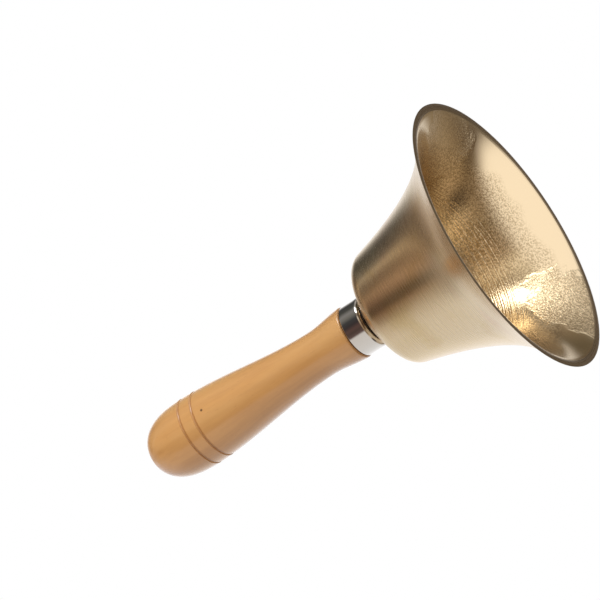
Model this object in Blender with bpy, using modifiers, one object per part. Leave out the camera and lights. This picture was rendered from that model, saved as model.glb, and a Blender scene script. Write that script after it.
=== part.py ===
"""A brass hand bell with a turned wooden handle, built as an assembly of separate pieces.

The bell stands mouth down on its lip: +Z runs up the handle, and the origin is the centre of the
mouth, in the plane of the lip. Sizes are in metres. A screw eye passes up through the crown and the
ferrule into the handle and clamps them together, and the clapper hangs from its eye by a link ring.
"""

import math

import bmesh
import bpy
from mathutils import Matrix, Vector

MM = 0.001

# Driving sizes of the bell
MOUTH_RADIUS = 57.5 * MM
THROAT_RADIUS = 24.5 * MM
SHOULDER_HEIGHT = 54.0 * MM
CROWN_RISE = 9.0 * MM
SHOULDER_ROUNDING = 6.9 * MM
CROWN_SEAT_RADIUS = 11.5 * MM
FLARE_LONG_SHARE = 0.755
FLARE_LONG_LENGTH = 56.3 * MM
FLARE_SHORT_LENGTH = 8.4 * MM
LIP_THICKNESS = 1.0 * MM
WALL_THICKNESS = 2.2 * MM
WALL_BUILD_UP = 5.0 * MM
CROWN_THICKNESS = 2.6 * MM

# Driving sizes of the fastening
STEM_RADIUS = 3.0 * MM
STEM_IN_HANDLE = 46.0 * MM
STEM_POINT = 3.5 * MM
COLLAR_RADIUS = 5.2 * MM
COLLAR_HEIGHT = 1.0 * MM
EYE_RADIUS = 3.5 * MM
EYE_WIRE_RADIUS = 1.2 * MM
EYE_SUNK = 0.6 * MM
CROWN_WASHER_RADIUS = 8.0 * MM
CROWN_WASHER_HEIGHT = 1.0 * MM
FLAT_WASHER_RADIUS = 8.0 * MM
FLAT_WASHER_HEIGHT = 0.8 * MM
LOCK_WASHER_RADIUS = 5.4 * MM
LOCK_WASHER_HEIGHT = 1.0 * MM
LOCK_WASHER_SLIT = 0.8 * MM

# Driving sizes of the ferrule and the handle
FERRULE_RADIUS = 10.7 * MM
FERRULE_HEIGHT = 8.8 * MM
FERRULE_WALL = 0.8 * MM
FERRULE_ROUNDING = 1.7 * MM
GRIP_SHOULDER_PROUD = 0.4 * MM
GRIP_SHOULDER_ROUNDING = 0.8 * MM
GRIP_WAIST_RADIUS = 9.5 * MM
GRIP_WAIST_FROM_SHOULDER = 16.5 * MM
GRIP_SWELL_RADIUS = 14.6 * MM
GRIP_SWELL_FROM_SHOULDER = 78.5 * MM
GRIP_BUTT_LENGTH = 21.8 * MM
GRIP_BUTT_POWER = 2.5
GROOVES_BELOW_SWELL = (7.5 * MM, 1.4 * MM)
GROOVE_HALF_WIDTH = 0.55 * MM
GROOVE_DEPTH = 0.5 * MM

# Driving sizes of the link and the clapper
LINK_RADIUS = 3.75 * MM
LINK_WIRE_RADIUS = 0.9 * MM
CLAPPER_EYE_RADIUS = 3.0 * MM
CLAPPER_WIRE_RADIUS = 0.9 * MM
CLAPPER_ROD_RADIUS = 1.3 * MM
CLAPPER_BALL_RADIUS = 7.0 * MM
CLAPPER_LENGTH = 15.2 * MM
CLAPPER_RIVET_PROUD = 0.5 * MM

# Clearances
SEAT_GAP = 0.3 * MM
BORE_GAP = 0.3 * MM

# Fineness of the turned surfaces
BELL_STEPS = 60
GRIP_STEPS = 40
FERRULE_STEPS = 40
SMALL_STEPS = 32
WIRE_SIDES = 12
SHARP_ANGLE = math.radians(32.0)

# Heights worked out from the driving sizes
CROWN_HEIGHT = SHOULDER_HEIGHT + CROWN_RISE
CROWN_INSIDE = CROWN_HEIGHT - CROWN_THICKNESS
FLAT_WASHER_TOP = CROWN_INSIDE - SEAT_GAP
LOCK_WASHER_TOP = FLAT_WASHER_TOP - FLAT_WASHER_HEIGHT - SEAT_GAP
COLLAR_TOP = LOCK_WASHER_TOP - LOCK_WASHER_HEIGHT - SEAT_GAP
COLLAR_BOTTOM = COLLAR_TOP - COLLAR_HEIGHT
EYE_HEIGHT = COLLAR_BOTTOM + EYE_SUNK - EYE_RADIUS - EYE_WIRE_RADIUS
LINK_PIVOT = EYE_HEIGHT - EYE_RADIUS
LINK_HEIGHT = LINK_PIVOT + EYE_WIRE_RADIUS + SEAT_GAP + LINK_WIRE_RADIUS - LINK_RADIUS
CLAPPER_PIVOT = LINK_HEIGHT - LINK_RADIUS
CLAPPER_EYE_HEIGHT = CLAPPER_PIVOT + LINK_WIRE_RADIUS + SEAT_GAP + CLAPPER_WIRE_RADIUS - CLAPPER_EYE_RADIUS
BALL_HEIGHT = CLAPPER_PIVOT - CLAPPER_LENGTH
CROWN_WASHER_BOTTOM = CROWN_HEIGHT + SEAT_GAP
FERRULE_BOTTOM = CROWN_WASHER_BOTTOM + CROWN_WASHER_HEIGHT + SEAT_GAP
FERRULE_TOP = FERRULE_BOTTOM + FERRULE_HEIGHT
TENON_BOTTOM = FERRULE_BOTTOM + FERRULE_WALL + SEAT_GAP
GRIP_SHOULDER = FERRULE_TOP + SEAT_GAP
GRIP_LENGTH = GRIP_SWELL_FROM_SHOULDER + GRIP_BUTT_LENGTH
STEM_TOP = TENON_BOTTOM + STEM_IN_HANDLE

STEM_HOLE_RADIUS = STEM_RADIUS + BORE_GAP


def clear_scene():
    """Takes every object out of the scene."""
    for obj in list(bpy.data.objects):
        bpy.data.objects.remove(obj, do_unlink=True)


def new_collection(name):
    """A collection under the scene's own."""
    collection = bpy.data.collections.new(name)
    bpy.context.scene.collection.children.link(collection)
    return collection


def new_material(name, color, roughness, metallic):
    """A Principled material of one colour."""
    material = bpy.data.materials.new(name)
    material.use_nodes = True
    shader = material.node_tree.nodes["Principled BSDF"]
    shader.inputs["Base Color"].default_value = (*color, 1.0)
    shader.inputs["Roughness"].default_value = roughness
    shader.inputs["Metallic"].default_value = metallic
    return material


def link_object(name, mesh, collection):
    """An object in the collection that holds the mesh."""
    obj = bpy.data.objects.new(name, mesh)
    collection.objects.link(obj)
    return obj


def turned(name, profile, steps, collection, closed=False):
    """A solid of revolution about Z. The profile's (radius, height) points run down the outer side.

    An open profile starts and ends on the axis; a closed one returns to its first point.
    """
    points = [(radius, 0.0, height) for radius, height in profile]
    edges = [(i, i + 1) for i in range(len(points) - 1)]
    if closed:
        edges.append((len(points) - 1, 0))
    mesh = bpy.data.meshes.new(name)
    mesh.from_pydata(points, edges, [])
    obj = link_object(name, mesh, collection)
    screw = obj.modifiers.new("Turn", "SCREW")
    screw.axis = "Z"
    screw.steps = steps
    screw.render_steps = steps
    screw.use_merge_vertices = True
    screw.merge_threshold = 0.00001
    screw.use_smooth_shade = True
    return obj


def wire_ring(name, ring_radius, wire_radius, center, turn, collection):
    """A ring of round wire about its center. turn carries the ring from the XY plane to its own."""
    bpy.ops.mesh.primitive_torus_add(
        major_segments=SMALL_STEPS,
        minor_segments=WIRE_SIDES,
        major_radius=ring_radius,
        minor_radius=wire_radius,
    )
    obj = bpy.context.object
    obj.name = name
    obj.data.transform(Matrix.Translation(center) @ turn)
    for owner in list(obj.users_collection):
        owner.objects.unlink(obj)
    collection.objects.link(obj)
    return obj


def join_by_union(obj, other, cutters):
    """Unites other with obj and keeps other as a hidden guide."""
    hide_guide(other, cutters)
    union = obj.modifiers.new("Join", "BOOLEAN")
    union.operation = "UNION"
    union.solver = "EXACT"
    union.object = other


def cut_away(obj, cutter, cutters):
    """Cuts the cutter's shape out of obj."""
    hide_guide(cutter, cutters)
    cut = obj.modifiers.new("Cut", "BOOLEAN")
    cut.operation = "DIFFERENCE"
    cut.solver = "EXACT"
    cut.object = cutter


def hide_guide(guide, cutters):
    """Moves a cutter or guide into its own collection and hides it from rendering."""
    for owner in list(guide.users_collection):
        owner.objects.unlink(guide)
    cutters.objects.link(guide)
    guide.hide_render = True
    guide.display_type = "WIRE"


def finish(obj, material):
    """Fixes the modifiers' result as the object's mesh, shades it and gives it its material."""
    bpy.context.view_layer.update()
    evaluated = obj.evaluated_get(bpy.context.evaluated_depsgraph_get())
    mesh = bpy.data.meshes.new_from_object(evaluated)
    obj.modifiers.clear()
    obj.data = mesh
    mesh.name = obj.name
    mesh.shade_smooth()
    mesh.set_sharp_from_angle(angle=SHARP_ANGLE)
    mesh.materials.clear()
    mesh.materials.append(material)
    return obj


def new_pivot(name, height, collection, parent=None):
    """An empty on the Z axis that stands on a joint's axis."""
    pivot = bpy.data.objects.new(name, None)
    pivot.empty_display_size = CLAPPER_BALL_RADIUS
    collection.objects.link(pivot)
    pivot.location = (0.0, 0.0, height)
    if parent is not None:
        pivot.parent = parent
        pivot.location.z = height - parent.location.z
    return pivot


def hang_from(obj, pivot, height):
    """Parents obj to the pivot, with its origin on the joint's axis at that height."""
    obj.data.transform(Matrix.Translation((0.0, 0.0, -height)))
    obj.parent = pivot


def arc(center_radius, center_height, radius, start, end, count):
    """Points of an arc in (radius, height), by angles in degrees from the outward direction."""
    angles = (math.radians(start + (end - start) * i / count) for i in range(count + 1))
    return [(center_radius + radius * math.cos(a), center_height + radius * math.sin(a)) for a in angles]


def smooth_step(share):
    """A smooth rise from 0 to 1."""
    return share * share * (3.0 - 2.0 * share)


def flare_radius(height):
    """The bell's outer radius: a long taper with a short flare at the mouth added."""

    def flare(at):
        long_part = FLARE_LONG_SHARE * math.exp(-at / FLARE_LONG_LENGTH)
        return long_part + (1.0 - FLARE_LONG_SHARE) * math.exp(-at / FLARE_SHORT_LENGTH)

    top = flare(SHOULDER_HEIGHT)
    share = (flare(height) - top) / (1.0 - top)
    return THROAT_RADIUS + (MOUTH_RADIUS - THROAT_RADIUS) * share


def bell_outline():
    """The bell's outer points, from the crown's seat down over the shoulder to the lip."""
    slope = 1000.0 * (flare_radius(SHOULDER_HEIGHT) - flare_radius(SHOULDER_HEIGHT - MM))
    start = math.degrees(math.atan(-slope))
    rounding = SHOULDER_ROUNDING
    center_radius = THROAT_RADIUS - rounding * math.cos(math.radians(start))
    center_height = SHOULDER_HEIGHT - rounding * math.sin(math.radians(start))
    seat = Vector((CROWN_SEAT_RADIUS - center_radius, CROWN_HEIGHT - center_height))
    end = math.degrees(math.atan2(seat.y, seat.x) - math.acos(min(1.0, rounding / seat.length)))
    shoulder = arc(center_radius, center_height, rounding, end, start, 6)
    shares = [(i / 14) ** 1.4 for i in range(14, -1, -1)]
    flare = [(flare_radius(SHOULDER_HEIGHT * share), SHOULDER_HEIGHT * share) for share in shares]
    return [(CROWN_SEAT_RADIUS, CROWN_HEIGHT)] + shoulder + flare[1:]


def wall_at(height):
    """The wall's thickness, which builds up from the lip to the full wall."""
    return WALL_THICKNESS - (WALL_THICKNESS - LIP_THICKNESS) * math.exp(-height / WALL_BUILD_UP)


def inside_of(outline):
    """The outline moved inwards by the wall, from the crown to the lip, ending in the lip's plane."""
    moved = []
    for i in range(1, len(outline) - 1):
        along = Vector(outline[i + 1]) - Vector(outline[i - 1])
        inward = Vector((along.y, -along.x)).normalized()
        point = Vector(outline[i]) + inward * wall_at(outline[i][1])
        if SEAT_GAP < point.y < CROWN_INSIDE - SEAT_GAP:
            moved.append((point.x, point.y))
    along = Vector(outline[-1]) - Vector(outline[-2])
    lip_width = LIP_THICKNESS * along.length / abs(along.y)
    return [crown_corner(outline)] + moved + [(outline[-1][0] - lip_width, 0.0)]


def crown_corner(outline):
    """Where the crown's flat inner seat meets the inside of the crown's slope."""
    along = Vector(outline[1]) - Vector(outline[0])
    start = Vector(outline[0]) + Vector((along.y, -along.x)).normalized() * WALL_THICKNESS
    corner = start + along * ((CROWN_INSIDE - start.y) / along.y)
    return (corner.x, CROWN_INSIDE)


def build_bell(parts):
    """The turned shell of the bell, with the screw's hole in its crown."""
    outline = bell_outline()
    inside = inside_of(outline)
    top = [(STEM_HOLE_RADIUS, CROWN_HEIGHT)]
    profile = top + outline + inside[::-1] + [(STEM_HOLE_RADIUS, CROWN_INSIDE)]
    return turned("bell_body", profile, BELL_STEPS, parts, closed=True)


def washer_profile(hole, radius, bottom, height):
    """The section of a flat washer."""
    top = bottom + height
    return [(hole, top), (radius, top), (radius, bottom), (hole, bottom)]


def build_lock_washer(parts, cutters):
    """A split ring, cut through at a slant."""
    bottom = LOCK_WASHER_TOP - LOCK_WASHER_HEIGHT
    profile = washer_profile(STEM_HOLE_RADIUS, LOCK_WASHER_RADIUS, bottom, LOCK_WASHER_HEIGHT)
    ring = turned("lock_washer", profile, SMALL_STEPS, parts, closed=True)
    bpy.ops.mesh.primitive_cube_add(size=1.0)
    slit = bpy.context.object
    slit.name = "lock_washer_slit"
    size = Matrix.Diagonal((LOCK_WASHER_SLIT, LOCK_WASHER_RADIUS, 4.0 * LOCK_WASHER_HEIGHT, 1.0))
    slant = Matrix.Rotation(math.radians(25.0), 4, "Y")
    place = Matrix.Translation((0.0, LOCK_WASHER_RADIUS, bottom + LOCK_WASHER_HEIGHT / 2.0))
    slit.data.transform(place @ slant @ size)
    cut_away(ring, slit, cutters)
    return ring


def build_eye_screw(parts, cutters):
    """The screw: a pointed stem with a collar under the crown, and an eye below the collar."""
    profile = [
        (0.0, STEM_TOP),
        (STEM_RADIUS, STEM_TOP - STEM_POINT),
        (STEM_RADIUS, COLLAR_TOP),
        (COLLAR_RADIUS, COLLAR_TOP),
        (COLLAR_RADIUS, COLLAR_BOTTOM),
        (0.0, COLLAR_BOTTOM),
    ]
    screw = turned("eye_screw", profile, SMALL_STEPS, parts)
    upright = Matrix.Rotation(math.radians(90.0), 4, "X")
    center = (0.0, 0.0, EYE_HEIGHT)
    eye = wire_ring("eye_screw_eye", EYE_RADIUS, EYE_WIRE_RADIUS, center, upright, cutters)
    join_by_union(screw, eye, cutters)
    return screw


def build_ferrule(parts):
    """The drawn metal cup over the handle's tenon, closed towards the bell but for the screw's hole."""
    rounding = FERRULE_ROUNDING
    corner = arc(FERRULE_RADIUS - rounding, FERRULE_BOTTOM + rounding, rounding, 0.0, -90.0, 5)
    inside = FERRULE_RADIUS - FERRULE_WALL
    inner_rounding = max(rounding - FERRULE_WALL, rounding / 4.0)
    plate_top = FERRULE_BOTTOM + FERRULE_WALL
    inner = arc(inside - inner_rounding, plate_top + inner_rounding, inner_rounding, -90.0, 0.0, 3)
    hole = [(STEM_HOLE_RADIUS, FERRULE_BOTTOM), (STEM_HOLE_RADIUS, plate_top)]
    profile = [(FERRULE_RADIUS, FERRULE_TOP)] + corner + hole + inner + [(inside, FERRULE_TOP)]
    return turned("ferrule", profile, FERRULE_STEPS, parts, closed=True)


def grip_radius(from_shoulder):
    """The handle's outer radius: shoulder, slim waist, swell, and a blunt rounded butt."""
    shoulder = FERRULE_RADIUS + GRIP_SHOULDER_PROUD
    if from_shoulder < GRIP_WAIST_FROM_SHOULDER:
        share = smooth_step(from_shoulder / GRIP_WAIST_FROM_SHOULDER)
        return shoulder + (GRIP_WAIST_RADIUS - shoulder) * share
    if from_shoulder < GRIP_SWELL_FROM_SHOULDER:
        run = GRIP_SWELL_FROM_SHOULDER - GRIP_WAIST_FROM_SHOULDER
        share = smooth_step((from_shoulder - GRIP_WAIST_FROM_SHOULDER) / run)
        return GRIP_WAIST_RADIUS + (GRIP_SWELL_RADIUS - GRIP_WAIST_RADIUS) * share
    share = (from_shoulder - GRIP_SWELL_FROM_SHOULDER) / GRIP_BUTT_LENGTH
    return GRIP_SWELL_RADIUS * (1.0 - min(1.0, share) ** GRIP_BUTT_POWER) ** (1.0 / GRIP_BUTT_POWER)


def grip_outline():
    """The handle's outer points from the butt down to the shoulder, with its turned grooves."""
    butt = [GRIP_SWELL_FROM_SHOULDER + GRIP_BUTT_LENGTH * share
            for share in (0.985, 0.93, 0.83, 0.68, 0.45, 0.2)]
    run = GRIP_SWELL_FROM_SHOULDER - GRIP_WAIST_FROM_SHOULDER
    swell = [GRIP_WAIST_FROM_SHOULDER + run * share / 8.0 for share in range(7, -1, -1)]
    waist = [GRIP_WAIST_FROM_SHOULDER * share / 5.0 for share in range(4, 0, -1)]
    clear = 2.0 * GROOVE_HALF_WIDTH
    grooves = [GRIP_SWELL_FROM_SHOULDER - below for below in GROOVES_BELOW_SWELL]
    plain = [at for at in butt + swell + waist
             if all(abs(at - groove) > clear for groove in grooves)]
    points = [(at, grip_radius(at)) for at in plain if at > 2.0 * GRIP_SHOULDER_ROUNDING]
    for groove in grooves:
        for shift, depth in ((-1.0, 0.0), (-0.45, 0.8), (0.0, 1.0), (0.45, 0.8), (1.0, 0.0)):
            at = groove + shift * GROOVE_HALF_WIDTH
            points.append((at, grip_radius(at) - depth * GROOVE_DEPTH))
    points.sort(reverse=True)
    return [(radius, GRIP_SHOULDER + at) for at, radius in points]


def build_grip(parts):
    """The turned handle with a tenon for the ferrule and a blind bore for the screw."""
    rounding = GRIP_SHOULDER_ROUNDING
    shoulder_radius = grip_radius(rounding)
    corner = arc(shoulder_radius - rounding, GRIP_SHOULDER + rounding, rounding, 0.0, -90.0, 4)
    tenon_radius = FERRULE_RADIUS - FERRULE_WALL - SEAT_GAP
    chamfer = max(FERRULE_ROUNDING - FERRULE_WALL, FERRULE_ROUNDING / 4.0)
    tenon = [
        (tenon_radius, GRIP_SHOULDER),
        (tenon_radius, TENON_BOTTOM + chamfer),
        (tenon_radius - chamfer, TENON_BOTTOM),
    ]
    bore = [
        (STEM_HOLE_RADIUS, TENON_BOTTOM),
        (STEM_HOLE_RADIUS, STEM_TOP - STEM_POINT + BORE_GAP),
        (0.0, STEM_TOP + 2.0 * BORE_GAP),
    ]
    pole = [(0.0, GRIP_SHOULDER + GRIP_LENGTH)]
    return turned("handle_grip", pole + grip_outline() + corner + tenon + bore, GRIP_STEPS, parts)


def build_link(parts):
    """The ring that joins the screw's eye to the clapper's, at right angles to both."""
    across = Matrix.Rotation(math.radians(90.0), 4, "Y")
    return wire_ring("link_ring", LINK_RADIUS, LINK_WIRE_RADIUS, (0.0, 0.0, LINK_HEIGHT), across, parts)


def build_clapper_rod(parts, cutters):
    """The clapper's rod, with an eye at its top and a riveted tail below the ball."""
    eye_bottom = CLAPPER_EYE_HEIGHT - CLAPPER_EYE_RADIUS
    tail = BALL_HEIGHT - CLAPPER_BALL_RADIUS - CLAPPER_RIVET_PROUD
    radius = CLAPPER_ROD_RADIUS
    profile = [
        (0.0, eye_bottom),
        (0.6 * radius, eye_bottom - 0.1 * radius),
        (radius, eye_bottom - 0.8 * radius),
        (radius, tail + 0.4 * radius),
        (0.7 * radius, tail + 0.1 * radius),
        (0.0, tail),
    ]
    rod = turned("clapper_rod", profile, WIRE_SIDES * 2, parts)
    upright = Matrix.Rotation(math.radians(90.0), 4, "X")
    center = (0.0, 0.0, CLAPPER_EYE_HEIGHT)
    eye = wire_ring("clapper_rod_eye", CLAPPER_EYE_RADIUS, CLAPPER_WIRE_RADIUS, center, upright, cutters)
    join_by_union(rod, eye, cutters)
    return rod


def build_clapper_ball(parts):
    """The ball, drilled through for the rod."""
    hole = CLAPPER_ROD_RADIUS + BORE_GAP
    start = math.degrees(math.acos(hole / CLAPPER_BALL_RADIUS))
    profile = arc(0.0, BALL_HEIGHT, CLAPPER_BALL_RADIUS, start, -start, 16)
    return turned("clapper_ball", profile, SMALL_STEPS, parts, closed=True)


def main():
    """Builds every piece and hangs the moving ones from their pivots."""
    clear_scene()
    parts = new_collection("hand_bell")
    cutters = new_collection("cutters")
    brass = new_material("brass", (0.78, 0.62, 0.36), 0.3, 1.0)
    nickel = new_material("nickel", (0.72, 0.70, 0.66), 0.12, 1.0)
    wood = new_material("varnished_wood", (0.72, 0.42, 0.16), 0.35, 0.0)
    steel = new_material("zinc_steel", (0.60, 0.60, 0.62), 0.35, 1.0)
    ball_steel = new_material("ball_steel", (0.50, 0.50, 0.52), 0.25, 1.0)
    fibre = new_material("fibre", (0.06, 0.05, 0.05), 0.8, 0.0)

    finish(build_bell(parts), brass)
    finish(build_ferrule(parts), nickel)
    finish(build_grip(parts), wood)
    washer = washer_profile(STEM_HOLE_RADIUS, CROWN_WASHER_RADIUS, CROWN_WASHER_BOTTOM, CROWN_WASHER_HEIGHT)
    finish(turned("crown_washer", washer, SMALL_STEPS, parts, closed=True), fibre)
    flat_bottom = FLAT_WASHER_TOP - FLAT_WASHER_HEIGHT
    washer = washer_profile(STEM_HOLE_RADIUS, FLAT_WASHER_RADIUS, flat_bottom, FLAT_WASHER_HEIGHT)
    finish(turned("flat_washer", washer, SMALL_STEPS, parts, closed=True), steel)
    finish(build_lock_washer(parts, cutters), steel)
    finish(build_eye_screw(parts, cutters), steel)

    link_pivot = new_pivot("link_pivot", LINK_PIVOT, parts)
    clapper_pivot = new_pivot("clapper_pivot", CLAPPER_PIVOT, parts, link_pivot)
    hang_from(finish(build_link(parts), steel), link_pivot, LINK_PIVOT)
    hang_from(finish(build_clapper_rod(parts, cutters), steel), clapper_pivot, CLAPPER_PIVOT)
    hang_from(finish(build_clapper_ball(parts), ball_steel), clapper_pivot, CLAPPER_PIVOT)


main()
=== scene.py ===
"""The looks of a brass hand bell: turned metal, a bright ferrule and a varnished handle.

The bell stands mouth down with +Z up its handle, in metres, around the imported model. Each
sub-assembly is a class that turns or bends its own pieces and dresses them in its finishes.
A turned piece starts as its profile's points, from radius and height, and is spun about Z.
"""

import logging
import math
from dataclasses import dataclass, field
from enum import Enum

import bpy
import numpy as np
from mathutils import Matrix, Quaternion, Vector

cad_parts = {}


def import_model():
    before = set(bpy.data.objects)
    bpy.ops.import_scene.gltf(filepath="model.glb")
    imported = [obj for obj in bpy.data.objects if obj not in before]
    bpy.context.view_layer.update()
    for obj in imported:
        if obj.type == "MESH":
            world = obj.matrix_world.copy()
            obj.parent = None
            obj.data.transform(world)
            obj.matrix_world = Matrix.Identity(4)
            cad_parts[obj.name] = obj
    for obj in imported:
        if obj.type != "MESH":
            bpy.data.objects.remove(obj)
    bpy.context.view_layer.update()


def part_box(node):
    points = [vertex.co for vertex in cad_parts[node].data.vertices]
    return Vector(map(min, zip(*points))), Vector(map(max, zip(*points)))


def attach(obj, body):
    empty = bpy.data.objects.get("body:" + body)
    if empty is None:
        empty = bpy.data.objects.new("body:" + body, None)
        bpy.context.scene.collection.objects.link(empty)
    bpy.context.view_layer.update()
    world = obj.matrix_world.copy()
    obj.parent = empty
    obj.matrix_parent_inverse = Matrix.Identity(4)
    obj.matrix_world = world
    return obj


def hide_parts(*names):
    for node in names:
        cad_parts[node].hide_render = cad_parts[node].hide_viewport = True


MM = 0.001
WELD_DISTANCE = 0.000002
QUARTER_TURN = 0.25
Point = tuple[float, float]
Color = tuple[float, float, float]
Node = bpy.types.Node
Piece = bpy.types.Object
Socket = bpy.types.NodeSocket
Level = Socket | float
Paint = Socket | Color
Stops = tuple[tuple[float, Color], ...]

log = logging.getLogger("hand_bell")


class Seam(Enum):
    """How a turned profile ends."""

    ON_AXIS = "on the axis at both ends"
    CLOSED = "back at its first point"


class Plane(Enum):
    """The plane that a wire ring lies in."""

    XZ = "X"
    YZ = "Y"


# ---------------------------------------------------------------- modelling


def deselect_all() -> None:
    """Leaves nothing selected and nothing active."""
    if bpy.context.mode != "OBJECT":
        bpy.ops.object.mode_set(mode="OBJECT")
    bpy.ops.object.select_all(action="DESELECT")
    bpy.context.view_layer.objects.active = None


def claim_new(name: str) -> Piece:
    """Names the object that an operator has just added.

    Args:
        name: The piece's name.

    Returns:
        The new object.
    """
    piece = bpy.context.object
    piece.name = name
    piece.data.name = name
    return piece


def settle(piece: Piece, sharp_degrees: float = 30.0) -> Piece:
    """Applies the piece's place, turns its faces outwards and shades it smooth.

    Args:
        piece: The finished mesh object, in object mode.
        sharp_degrees: Edges that turn by more than this stay sharp.

    Returns:
        The same object.
    """
    deselect_all()
    piece.select_set(True)
    bpy.context.view_layer.objects.active = piece
    bpy.ops.object.transform_apply(location=True, rotation=True, scale=True)
    bpy.ops.object.mode_set(mode="EDIT")
    bpy.ops.mesh.select_all(action="SELECT")
    bpy.ops.mesh.normals_make_consistent(inside=False)
    bpy.ops.object.mode_set(mode="OBJECT")
    bpy.ops.object.shade_smooth_by_angle(angle=math.radians(sharp_degrees))
    deselect_all()
    return piece


def start_vertex(name: str, at: Point) -> Piece:
    """A mesh of one vertex in the XZ plane, ready to be extruded, in edit mode.

    Args:
        name: The piece's name.
        at: The vertex's radius and height.

    Returns:
        The new object.
    """
    deselect_all()
    bpy.ops.mesh.primitive_plane_add(size=MM, location=(0.0, 0.0, 0.0))
    piece = claim_new(name)
    bpy.ops.object.mode_set(mode="EDIT")
    bpy.ops.mesh.select_mode(type="VERT")
    bpy.ops.mesh.select_all(action="SELECT")
    bpy.ops.mesh.merge(type="CENTER")
    bpy.ops.transform.translate(value=(at[0], 0.0, at[1]))
    return piece


def turn(name: str, profile: list[Point], steps: int, seam: Seam) -> Piece:
    """Turns a profile about Z, as on a lathe.

    Args:
        name: The piece's name.
        profile: Points of radius and height, one after the other.
        steps: How many steps the full turn has.
        seam: Whether the profile ends on the axis or closes on itself.

    Returns:
        The turned solid.
    """
    piece = start_vertex(name, profile[0])
    for before, after in zip(profile, profile[1:]):
        step = (after[0] - before[0], 0.0, after[1] - before[1])
        bpy.ops.mesh.extrude_region_move(TRANSFORM_OT_translate={"value": step})
    if seam is Seam.CLOSED:
        close_ends(piece, profile)
    bpy.ops.mesh.select_all(action="SELECT")
    bpy.ops.mesh.spin(steps=steps, angle=math.tau, center=(0.0, 0.0, 0.0), axis=(0.0, 0.0, 1.0))
    bpy.ops.mesh.select_all(action="SELECT")
    bpy.ops.mesh.remove_doubles(threshold=WELD_DISTANCE)
    bpy.ops.mesh.select_all(action="DESELECT")
    bpy.ops.mesh.select_non_manifold()
    bpy.ops.mesh.delete_loose()
    return settle(piece)


def close_ends(piece: Piece, profile: list[Point]) -> None:
    """Joins the profile's last point to its first with an edge.

    Args:
        piece: The object in edit mode that holds the profile.
        profile: The profile's points.
    """
    bpy.ops.mesh.select_all(action="DESELECT")
    bpy.ops.object.mode_set(mode="OBJECT")
    ends = [Vector((at[0], 0.0, at[1])) for at in (profile[0], profile[-1])]
    for vertex in piece.data.vertices:
        vertex.select = any((vertex.co - end).length < 0.01 * MM for end in ends)
    bpy.ops.object.mode_set(mode="EDIT")
    bpy.ops.mesh.edge_face_add()


def wire_ring(name: str, radius: float, wire: float, height: float, plane: Plane) -> Piece:
    """A closed ring of round wire about a point on the Z axis.

    Args:
        name: The piece's name.
        radius: The ring's radius at the middle of its wire.
        wire: The wire's own radius.
        height: The height of the ring's centre.
        plane: The plane that the ring lies in.

    Returns:
        The ring.
    """
    deselect_all()
    bpy.ops.mesh.primitive_torus_add(
        major_segments=72, minor_segments=24, major_radius=radius, minor_radius=wire
    )
    ring = claim_new(name)
    ring.rotation_euler = (math.pi / 2, 0.0, 0.0) if plane is Plane.XZ else (0.0, math.pi / 2, 0.0)
    ring.location = (0.0, 0.0, height)
    return settle(ring)


def weld_in(piece: Piece, other: Piece, sharp_degrees: float) -> Piece:
    """Unites other with the piece, as forged or welded in one.

    Args:
        piece: The piece that stays.
        other: The object that is used up.
        sharp_degrees: Edges that turn by more than this stay sharp.

    Returns:
        The united piece.
    """
    deselect_all()
    piece.select_set(True)
    bpy.context.view_layer.objects.active = piece
    union = piece.modifiers.new("Weld in", "BOOLEAN")
    union.operation = "UNION"
    union.solver = "EXACT"
    union.object = other
    bpy.ops.object.modifier_apply(modifier=union.name)
    bpy.data.objects.remove(other, do_unlink=True)
    return settle(piece, sharp_degrees)


def arc(center: Point, radius: float, start: float, end: float, count: int) -> list[Point]:
    """Points of an arc.

    Args:
        center: The arc's centre, as radius and height.
        radius: The arc's own radius.
        start: The first angle in degrees, from the outward direction.
        end: The last angle in degrees.
        count: How many steps the arc has.

    Returns:
        The arc's points from start to end.
    """
    angles = [math.radians(start + (end - start) * i / count) for i in range(count + 1)]
    return [(center[0] + radius * math.cos(a), center[1] + radius * math.sin(a)) for a in angles]


def smooth_step(share: float) -> float:
    """A smooth rise from 0 to 1 over a share from 0 to 1."""
    share = min(1.0, max(0.0, share))
    return share * share * (3.0 - 2.0 * share)


def washer_section(hole: float, radius: float, bottom: float, top: float, edge: float) -> list[Point]:
    """The section of a washer with softly broken outer edges.

    Args:
        hole: The hole's radius.
        radius: The outer radius.
        bottom: The lower face's height.
        top: The upper face's height.
        edge: The radius of the broken edges.

    Returns:
        The section's points, down the outer side.
    """
    upper = arc((radius - edge, top - edge), edge, 90.0, 0.0, 4)
    lower = arc((radius - edge, bottom + edge), edge, 0.0, -90.0, 4)
    return [(hole, top)] + upper + lower + [(hole, bottom)]


# ---------------------------------------------------------------- finishes


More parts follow.
